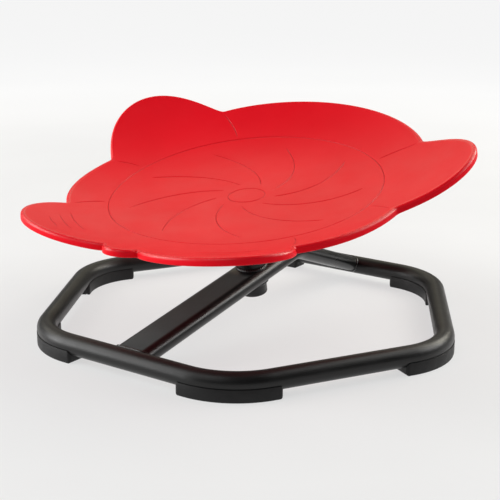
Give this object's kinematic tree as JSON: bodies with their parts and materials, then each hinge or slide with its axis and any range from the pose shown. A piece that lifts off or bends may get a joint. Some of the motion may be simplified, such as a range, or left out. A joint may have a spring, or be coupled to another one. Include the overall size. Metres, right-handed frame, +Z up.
{
  "type": "spinning seat",
  "caption": "Low child's spinning seat: a lobed dish turns freely on an inclined spindle, held by a bent bar inside a six-sided tubular floor ring with rubber feet.",
  "frame": {"origin": "centre of the floor ring, on the floor", "axes": "+Z up; +X along the cross bar towards its bend, the back of the seat; +Y to the seat's left"},
  "size_m": [0.5335, 0.5746, 0.2668],
  "materials": {
    "frame_black": "satin black powder coat",
    "foot_rubber": "matte moulded rubber",
    "black_plastic": "matte moulded plastic",
    "zinc_steel": "zinc plated",
    "bare_steel": "turned steel",
    "bearing_steel": "ground and polished",
    "cage_nylon": "natural moulded nylon",
    "insert_brass": "knurled brass",
    "seat_red": "satin moulded polypropylene"
  },
  "bodies": {
    "base": {"base_ring": "frame_black", "cross_bar": "frame_black", "hub_tube": "frame_black", "hub_welds": "frame_black", "bar_end_welds": "frame_black", "foot_back_left": "foot_rubber", "foot_left": "foot_rubber", "foot_front_left": "foot_rubber", "foot_front_right": "foot_rubber", "foot_right": "foot_rubber", "foot_back_right": "foot_rubber", "foot_screws": "zinc_steel", "hub_end_cap": "black_plastic", "upper_bearing_outer_race": "bearing_steel", "lower_bearing_outer_race": "bearing_steel"},
    "ball_cages": {"upper_bearing_balls": "bearing_steel", "lower_bearing_balls": "bearing_steel", "upper_bearing_cage": "cage_nylon", "lower_bearing_cage": "cage_nylon"},
    "seat": {"seat_shell": "seat_red", "threaded_inserts": "insert_brass", "seat_bolts": "zinc_steel", "bolt_washers": "zinc_steel", "seat_plate": "frame_black", "plate_weld": "frame_black", "spindle": "bare_steel", "upper_bearing_inner_race": "bearing_steel", "lower_bearing_inner_race": "bearing_steel", "inner_spacer": "bare_steel", "lock_washer": "zinc_steel", "lock_nut": "zinc_steel", "dust_shield": "foot_rubber"}
  },
  "joints": [
    {"name": "seat_spin", "type": "hinge", "parent": "base", "child": "seat", "pos_m": [0.0035, 0, 0.06409], "axis": [-0.1702, 0, 0.9854], "continuous": true},
    {"name": "cage_spin", "type": "hinge", "parent": "base", "child": "ball_cages", "pos_m": [0.0035, 0, 0.06409], "axis": [-0.1702, 0, 0.9854], "continuous": true}
  ],
  "couplings": [
    {"joint": "cage_spin", "follows": "seat_spin", "ratio": 0.3987}
  ]
}
